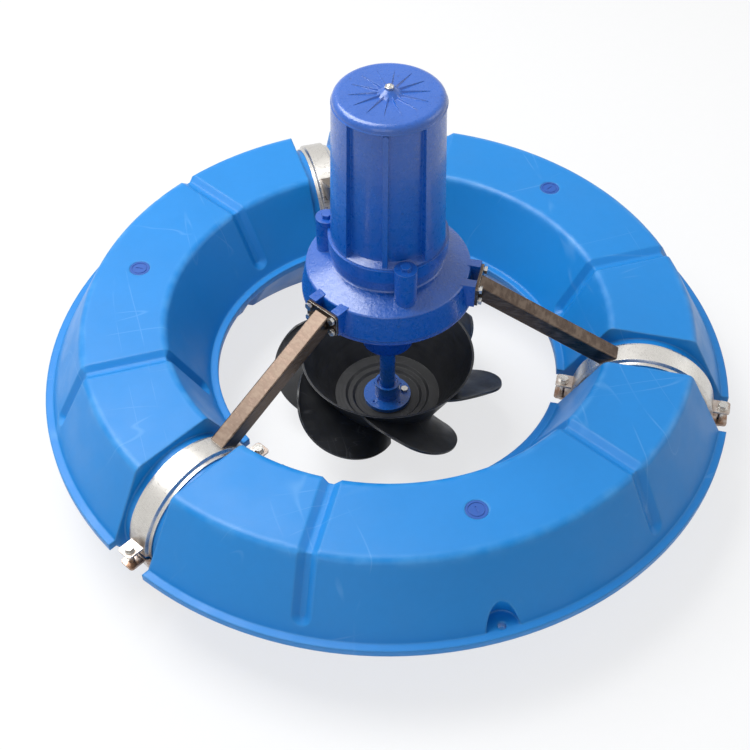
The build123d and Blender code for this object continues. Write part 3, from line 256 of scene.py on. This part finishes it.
class Finish(Tree):
    """Material with one Principled shader and its Object coordinates."""

    def __init__(self, name, **constants):
        self.material = bpy.data.materials.new(name)
        self.material.use_nodes = True
        super().__init__(self.material.node_tree)
        self.shader = self.tree.nodes["Principled BSDF"]
        self.place = self.add("ShaderNodeTexCoord").outputs["Object"]
        for socket_name, value in constants.items():
            self.shader.inputs[socket_name.replace("_", " ")].default_value = value

    def group(self, group, **values):
        """Outputs of a placed node group."""
        node = self.add("ShaderNodeGroup", node_tree=group)
        for socket_name, value in values.items():
            self.fill(node.inputs[socket_name], value)
        return node.outputs

    def polar(self):
        """Radius, turn and height of the shaded point."""
        return self.group(polar_place, Place=self.place)

    def band(self, value, centre, width):
        """Mask of a band round a centre value."""
        return self.group(band, Value=value, Centre=centre, Width=width)["Mask"]

    def soft_edges(self, radius):
        """Normal that rounds off sharp edges, and the mask of those edges, where the finishes paint
        highlights.
        """
        soft = self.add("ShaderNodeBevel", {"Radius": radius}, samples=6).outputs[0]
        true = self.add("ShaderNodeNewGeometry").outputs["True Normal"]
        turn = self.vector("DOT_PRODUCT", soft, true).outputs["Value"]
        return soft, self.spread(turn, 0.80, 0.99, 1.0, 0.0)

    def finish(self, colour, roughness, height=None, strength=0.3, distance=0.001, normal=None):
        """Connect colour, roughness and bump, and return the material."""
        self.fill(self.shader.inputs["Base Color"], colour)
        self.fill(self.shader.inputs["Roughness"], roughness)
        if height is not None:
            bump = self.add(
                "ShaderNodeBump", {"Height": height, "Strength": strength, "Distance": distance}
            )
            if normal is not None:
                self.fill(bump.inputs["Normal"], normal)
            normal = bump.outputs[0]
        if normal is not None:
            self.fill(self.shader.inputs["Normal"], normal)
        return self.material


def moulded_blue():
    """Rotomoulded polyethylene: fine orange peel, painted highlights on the deck bends and sharp edges,
    and faint scuffs.
    """
    f = Finish("moulded_blue_float", IOR=1.46)
    soft, edges = f.soft_edges(0.006)
    polar = f.polar()
    colour = f.group(mottle, Colour=srgb(12, 128, 205), Place=f.place, Scale=5.0, Depth=0.10)["Colour"]
    # Painted highlight: pale bands along the outer and inner deck bends, broken up by noise.
    outer_bend = f.math(
        "MULTIPLY",
        f.band(polar["Radius"], deck_outer_radius, 0.016),
        f.band(polar["Height"], hull_height, 0.022),
    )
    inner_bend = f.math(
        "MULTIPLY",
        f.band(polar["Radius"], deck_inner_radius, 0.016),
        f.band(polar["Height"], hull_height, 0.022),
    )
    bends = f.math("MAXIMUM", outer_bend, inner_bend)
    painted_bend_highlight = f.math("MULTIPLY", bends, f.spread(f.noise(f.place, 26.0, 4.0), 0.35, 0.7))
    colour = f.blend(f.math("MULTIPLY", painted_bend_highlight, 0.30), colour, srgb(96, 172, 232))
    # Painted highlight: paler blue on the sharp edges.
    colour = f.blend(f.math("MULTIPLY", edges, 0.25), colour, srgb(110, 180, 235))
    scratches = f.group(fine_scratches, Place=f.place, Scale=7.0, Amount=0.5)["Mask"]
    colour = f.blend(f.math("MULTIPLY", scratches, 0.3), colour, srgb(140, 195, 238))
    peel = f.noise(f.place, 420.0, 3.0, 0.6)
    waves = f.noise(f.place, 30.0, 2.0)
    height = f.math("ADD", f.math("MULTIPLY", peel, 0.35), f.math("MULTIPLY", waves, 0.65))
    roughness = f.spread(f.noise(f.place, 14.0, 4.0), 0.3, 0.7, 0.36, 0.50)
    return f.finish(colour, roughness, height, 0.25, 0.0012, soft)


def plug_blue():
    """Matte dark blue plug plastic with fine grain."""
    f = Finish("plug_blue", IOR=1.46)
    soft, edges = f.soft_edges(0.0008)
    colour = f.group(mottle, Colour=srgb(30, 84, 168), Place=f.place, Scale=60.0, Depth=0.16)["Colour"]
    # Painted highlight: paler blue on the sharp edges.
    colour = f.blend(f.math("MULTIPLY", edges, 0.35), colour, srgb(96, 120, 205))
    grain = f.noise(f.place, 900.0, 2.0)
    return f.finish(colour, f.spread(grain, 0.3, 0.7, 0.42, 0.58), grain, 0.15, 0.0004, soft)


def steel(name, tone, brush_scale, tint=None, tint_low=0.0, tint_high=1.0):
    """Brushed sheet steel, with an optional cloudy brown tint below a height."""
    f = Finish(name, Metallic=1.0)
    soft, edges = f.soft_edges(0.0008)
    polar = f.polar()
    colour = f.group(mottle, Colour=tone, Place=f.place, Scale=22.0, Depth=0.14)["Colour"]
    stretched = f.vector("MULTIPLY", f.place, brush_scale).outputs[0]
    brushed = f.noise(stretched, 90.0, 3.0, 0.65)
    colour = f.blend(f.spread(brushed, 0.45, 0.75, 0.0, 0.22), colour, srgb(120, 116, 112))
    if tint:
        low = f.spread(polar["Height"], tint_low, tint_high, 1.0, 0.0)
        cloud = f.spread(f.noise(f.place, 38.0, 4.0, 0.6), 0.35, 0.62)
        share = f.math("MULTIPLY", low, f.math("MULTIPLY_ADD", cloud, 0.6, 0.35))
        colour = f.blend(share, colour, tint)
    # Painted highlight: near-white sharp edges.
    colour = f.blend(f.math("MULTIPLY", edges, 0.5), colour, srgb(232, 230, 226))
    roughness = f.spread(brushed, 0.25, 0.75, 0.22, 0.42)
    return f.finish(colour, roughness, brushed, 0.12, 0.0006, soft)


def arm_steel():
    """Square tube with the warm brown film of heat and storage and painted highlights on its corners."""
    f = Finish("arm_steel", Metallic=1.0)
    soft, edges = f.soft_edges(0.0012)
    film = f.group(mottle, Colour=srgb(84, 72, 64), Place=f.place, Scale=11.0, Depth=0.25)["Colour"]
    streaks = f.noise(f.vector("MULTIPLY", f.place, (1.0, 1.0, 5.0)).outputs[0], 44.0, 4.0, 0.6)
    colour = f.blend(f.spread(streaks, 0.44, 0.66, 0.0, 0.5), film, srgb(122, 108, 96))
    # Painted highlight: near-white corners.
    colour = f.blend(f.math("MULTIPLY", edges, 0.75), colour, srgb(226, 220, 212))
    roughness = f.spread(streaks, 0.3, 0.7, 0.26, 0.44)
    return f.finish(colour, roughness, streaks, 0.10, 0.0006, soft)


def bright_bolt():
    """Plain bolts and nuts with a fine grain and patches of grime."""
    f = Finish("bright_bolt", Metallic=1.0)
    soft, edges = f.soft_edges(0.0006)
    colour = f.group(mottle, Colour=srgb(190, 188, 184), Place=f.place, Scale=90.0, Depth=0.22)["Colour"]
    grime = f.spread(f.noise(f.place, 130.0, 3.0), 0.52, 0.72)
    colour = f.blend(f.math("MULTIPLY", grime, 0.35), colour, srgb(70, 60, 52))
    # Painted highlight: near-white sharp edges.
    colour = f.blend(f.math("MULTIPLY", edges, 0.6), colour, srgb(240, 239, 236))
    grain = f.noise(f.place, 700.0, 2.0)
    return f.finish(colour, f.spread(grain, 0.3, 0.7, 0.20, 0.36), grain, 0.10, 0.0003, soft)


def cast_enamel(name, tone, grain, strength, coat=0.6):
    """Glossy enamel over a sand casting, with painted shade in the pits and painted highlights on the
    edges.
    """
    f = Finish(name, IOR=1.5, Coat_Weight=coat, Coat_Roughness=0.16)
    soft, edges = f.soft_edges(0.0018)
    skin = f.group(cast_skin, Place=f.place, Grain=grain, Lumps=grain * 0.22)
    colour = f.group(mottle, Colour=tone, Place=f.place, Scale=16.0, Depth=0.18)["Colour"]
    # Painted shade: darker blue in the pits of the cast skin.
    colour = f.blend(f.math("MULTIPLY", skin["Pits"], 0.55), colour, srgb(2, 26, 84))
    # Painted highlight: paler blue on the sharp edges.
    colour = f.blend(f.math("MULTIPLY", edges, 0.30), colour, srgb(58, 128, 214))
    roughness = f.spread(f.noise(f.place, 120.0, 3.0), 0.3, 0.7, 0.24, 0.42)
    return f.finish(colour, roughness, skin["Height"], strength, 0.0022, soft)


def shaft_enamel():
    """Blue enamel on turned steel: faint rings and small runs under a gloss coat."""
    f = Finish("shaft_enamel", IOR=1.5, Coat_Weight=0.5, Coat_Roughness=0.12)
    soft, edges = f.soft_edges(0.001)
    polar = f.polar()
    colour = f.group(mottle, Colour=srgb(8, 96, 190), Place=f.place, Scale=34.0, Depth=0.20)["Colour"]
    # Painted highlight: paler blue on the sharp edges.
    colour = f.blend(f.math("MULTIPLY", edges, 0.35), colour, srgb(90, 160, 232))
    rings = f.math("SINE", f.math("MULTIPLY", polar["Height"], 2400.0))
    runs = f.noise(f.place, 110.0, 3.0)
    height = f.math("ADD", f.math("MULTIPLY", rings, 0.12), f.math("MULTIPLY", runs, 0.7))
    return f.finish(colour, f.spread(runs, 0.3, 0.7, 0.22, 0.40), height, 0.25, 0.0010, soft)


def impeller_nylon(name, tone, ring_depth):
    """Satin black nylon with faint concentric flow rings and painted grey highlights on the edges."""
    f = Finish(name, IOR=1.5)
    soft, edges = f.soft_edges(0.0010)
    polar = f.polar()
    colour = f.group(mottle, Colour=tone, Place=f.place, Scale=18.0, Depth=0.35)["Colour"]
    # Painted highlight: grey sharp edges.
    colour = f.blend(f.math("MULTIPLY", edges, 0.55), colour, srgb(150, 150, 150))
    scratches = f.group(fine_scratches, Place=f.place, Scale=24.0, Amount=0.6)["Mask"]
    colour = f.blend(f.math("MULTIPLY", scratches, 0.5), colour, srgb(110, 110, 112))
    wobble = f.math("MULTIPLY", f.noise(f.place, 20.0, 2.0), 2.0)
    rings = f.math("SINE", f.math("MULTIPLY_ADD", polar["Radius"], 900.0, wobble))
    grain = f.noise(f.place, 600.0, 2.0)
    height = f.math("MULTIPLY_ADD", rings, ring_depth, f.math("MULTIPLY", grain, 0.5))
    roughness = f.spread(f.noise(f.place, 30.0, 4.0), 0.3, 0.7, 0.34, 0.52)
    return f.finish(colour, roughness, height, 0.18, 0.0006, soft)


def machined(name, tone, ring_scale, rough_low=0.22, rough_high=0.38):
    """Machined metal with turning rings about the Z axis."""
    f = Finish(name, Metallic=1.0)
    polar = f.polar()
    colour = f.group(mottle, Colour=tone, Place=f.place, Scale=40.0, Depth=0.16)["Colour"]
    rings = f.math("SINE", f.math("MULTIPLY", polar["Radius"], ring_scale))
    fine = f.noise(f.place, 320.0, 3.0)
    height = f.math("MULTIPLY_ADD", rings, 0.3, fine)
    return f.finish(colour, f.spread(fine, 0.3, 0.7, rough_low, rough_high), height, 0.12, 0.0004)


def rubber_black():
    """Matte black rubber with a bloomed surface."""
    f = Finish("seal_rubber", IOR=1.5)
    colour = f.group(mottle, Colour=srgb(34, 34, 36), Place=f.place, Scale=70.0, Depth=0.30)["Colour"]
    grain = f.noise(f.place, 800.0, 3.0)
    return f.finish(colour, f.spread(grain, 0.3, 0.7, 0.62, 0.80), grain, 0.25, 0.0004)


def gland_nylon():
    """Black nylon of the cable gland with a fine moulded grain."""
    f = Finish("gland_nylon", IOR=1.5)
    soft, edges = f.soft_edges(0.0006)
    colour = f.group(mottle, Colour=srgb(30, 31, 34), Place=f.place, Scale=70.0, Depth=0.25)["Colour"]
    # Painted highlight: lighter grey sharp edges.
    colour = f.blend(f.math("MULTIPLY", edges, 0.4), colour, srgb(92, 94, 98))
    grain = f.noise(f.place, 900.0, 2.0)
    return f.finish(colour, f.spread(grain, 0.3, 0.7, 0.38, 0.54), grain, 0.15, 0.0003, soft)


def copper_wire():
    """Varnished copper end turns: fine bundles of wire wound round the axis."""
    f = Finish("winding_copper", Metallic=0.85)
    polar = f.polar()
    swing = f.math("MULTIPLY", f.noise(f.place, 60.0, 2.0), 3.0)
    strands = f.math("SINE", f.math("MULTIPLY_ADD", polar["Radius"], 5200.0, swing))
    # Painted shade and highlight: dark brown in the grooves between wires, bright copper on their crowns.
    colour = f.blend(f.spread(strands, -1.0, 1.0), srgb(96, 44, 22), srgb(206, 120, 70))
    return f.finish(colour, f.spread(strands, -1.0, 1.0, 0.50, 0.28), strands, 0.4, 0.0006)


def laminated_core():
    """Stacked core sheets: thin dark lines at an even height pitch."""
    f = Finish("laminated_core", Metallic=0.8)
    polar = f.polar()
    sheets = f.math("SINE", f.math("MULTIPLY", polar["Height"], 6283.0))
    colour = f.blend(f.spread(sheets, -1.0, -0.4, 0.6, 0.0), srgb(116, 116, 120), srgb(40, 40, 44))
    return f.finish(colour, f.spread(sheets, -1.0, 1.0, 0.55, 0.38), sheets, 0.3, 0.0003)


finishes = {
    "float_blue": moulded_blue(),
    "plug_plastic": plug_blue(),
    "seal_rubber": rubber_black(),
    "stainless": steel("hoop_steel", srgb(206, 203, 198), (1.0, 1.0, 6.0), srgb(128, 96, 74), 0.13, 0.21),
    "bolt_steel": bright_bolt(),
    "cast_blue": cast_enamel("cast_enamel", srgb(3, 84, 176), 240.0, 0.42),
    "shaft_blue": shaft_enamel(),
    "gear_steel": machined("gear_steel", srgb(150, 150, 154), 2600.0),
    "bearing_steel": machined("bearing_steel", srgb(205, 205, 208), 3600.0, 0.10, 0.20),
    "core_steel": laminated_core(),
    "winding_copper": copper_wire(),
    "impeller_black": impeller_nylon("impeller_nylon", srgb(30, 31, 33), 0.10),
    "gland_plastic": gland_nylon(),
}
special_finishes = {
    "impeller_bowl": impeller_nylon("bowl_nylon", srgb(38, 39, 41), 0.45),
    "gearbox_case": cast_enamel("gearbox_enamel", srgb(3, 84, 176), 190.0, 0.75),
    "gearbox_cover": cast_enamel("cover_enamel", srgb(3, 76, 168), 190.0, 0.55),
}
arm_finish = arm_steel()
for clamp in clamp_azimuths:
    special_finishes[f"arm_{clamp}"] = arm_finish
    special_finishes[f"arm_plate_{clamp}"] = arm_finish


def dress_nodes():
    """Give every CAD node the finish of its material slot or its own special finish."""
    for part in frame["record"]["subparts"]:
        name = part["node"]
        material = special_finishes.get(name, finishes[part["material_slot"]])
        mesh = nodes[name].data
        mesh.materials.clear()
        mesh.materials.append(material)


dress_nodes()


def surface_object(name, points, faces, material, smooth=True):
    """Mesh object from whole arrays of points and faces, already in its place."""
    mesh = bpy.data.meshes.new(name)
    mesh.from_pydata(points.tolist(), [], faces.tolist())
    mesh.polygons.foreach_set("use_smooth", np.full(len(faces), smooth))
    mesh.materials.append(material)
    mesh.update()
    item = bpy.data.objects.new(name, mesh)
    bpy.context.scene.collection.objects.link(item)
    return item


def floor_object():
    """Flat floor: a square grid of points at height zero, level under the floats."""
    reach = 6.0
    line = np.linspace(-reach, reach, 9)
    x, y = np.meshgrid(line, line, indexing="ij")
    points = np.stack([x, y, np.zeros_like(x)], -1).reshape(-1, 3)
    index = np.arange(len(points)).reshape(x.shape)
    quads = [index[:-1, :-1], index[1:, :-1], index[1:, 1:], index[:-1, 1:]]
    faces = np.stack(quads, -1).reshape(-1, 4)
    return surface_object("studio_floor", points, faces, floor_material(), smooth=False)


def seen_directly(tree):
    """Share that is 1 for rays that show the surface itself, straight or in gloss."""
    path = tree.add("ShaderNodeLightPath").outputs
    shown = tree.math("MAXIMUM", path["Is Camera Ray"], path["Is Glossy Ray"])
    return tree.math("MAXIMUM", shown, path["Is Transmission Ray"])


def floor_material():
    """Pale floor that looks nearly white and keeps a soft shadow of the object."""
    f = Finish("studio_floor")
    grain = f.noise(f.place, 40.0, 3.0)
    colour = f.blend(grain, srgb(236, 238, 240), srgb(242, 243, 245))
    f.finish(colour, 0.9)
    glow = f.add("ShaderNodeEmission", {"Color": srgb(255, 255, 255), "Strength": 1.0})
    mix = f.add("ShaderNodeMixShader", {0: f.math("MULTIPLY", seen_directly(f), 0.72)})
    f.fill(mix.inputs[1], f.shader.outputs[0])
    f.fill(mix.inputs[2], glow.outputs[0])
    f.fill(f.tree.nodes["Material Output"].inputs["Surface"], mix.outputs[0])
    return f.material


def set_world():
    """Even pale surroundings, white where they are seen directly."""
    world = bpy.data.worlds.new("studio")
    world.use_nodes = True
    bpy.context.scene.world = world
    tree = Tree(world.node_tree)
    background = world.node_tree.nodes["Background"]
    strength = tree.spread(seen_directly(tree), 0.0, 1.0, 0.30, 1.0)
    tree.fill(background.inputs["Color"], srgb(255, 255, 255))
    tree.fill(background.inputs["Strength"], strength)


def soft_light(name, place, size, power, target=(0.0, 0.0, 0.25)):
    """Square softbox that faces a target."""
    lamp = bpy.data.lights.new(name, "AREA")
    lamp.shape = "SQUARE"
    lamp.size = size
    lamp.energy = power
    item = bpy.data.objects.new(name, lamp)
    item.location = place
    item.rotation_euler = (Vector(target) - Vector(place)).to_track_quat("-Z", "Y").to_euler()
    bpy.context.scene.collection.objects.link(item)
    return item


def set_camera():
    """Camera at the photograph's angle, from its azimuth, elevation, roll and lens."""
    azimuth = math.radians(camera_azimuth)
    elevation = math.radians(camera_elevation)
    back = Vector(
        (
            math.cos(elevation) * math.cos(azimuth),
            math.cos(elevation) * math.sin(azimuth),
            math.sin(elevation),
        )
    )
    level = Vector((-math.sin(azimuth), math.cos(azimuth), 0.0))
    upward = back.cross(level)
    right = level * math.cos(camera_roll) + upward * math.sin(camera_roll)
    up = upward * math.cos(camera_roll) - level * math.sin(camera_roll)
    data = bpy.data.cameras.new("photo_camera")
    data.sensor_width = sensor_width
    data.lens = focal_pixels / image_width * sensor_width
    data.shift_x = (image_width / 2 - principal_x) / image_width
    data.shift_y = (principal_y - image_width / 2) / image_width
    camera = bpy.data.objects.new("photo_camera", data)
    camera.matrix_world = Matrix.Translation(camera_target + back * camera_distance) @ Matrix(
        (right, up, back)
    ).transposed().to_4x4()
    bpy.context.scene.collection.objects.link(camera)
    bpy.context.scene.camera = camera


def set_stage():
    """Floor, surroundings, lamps and camera."""
    floor_object()
    set_world()
    soft_light("key_light", (-1.1, 1.1, 3.2), 2.2, 130.0)
    soft_light("fill_light", (-1.6, -2.6, 1.6), 2.0, 16.0)
    soft_light("side_light", (3.0, -0.4, 2.0), 1.8, 14.0)
    set_camera()
    bpy.context.scene.view_settings.view_transform = "Standard"


set_stage()
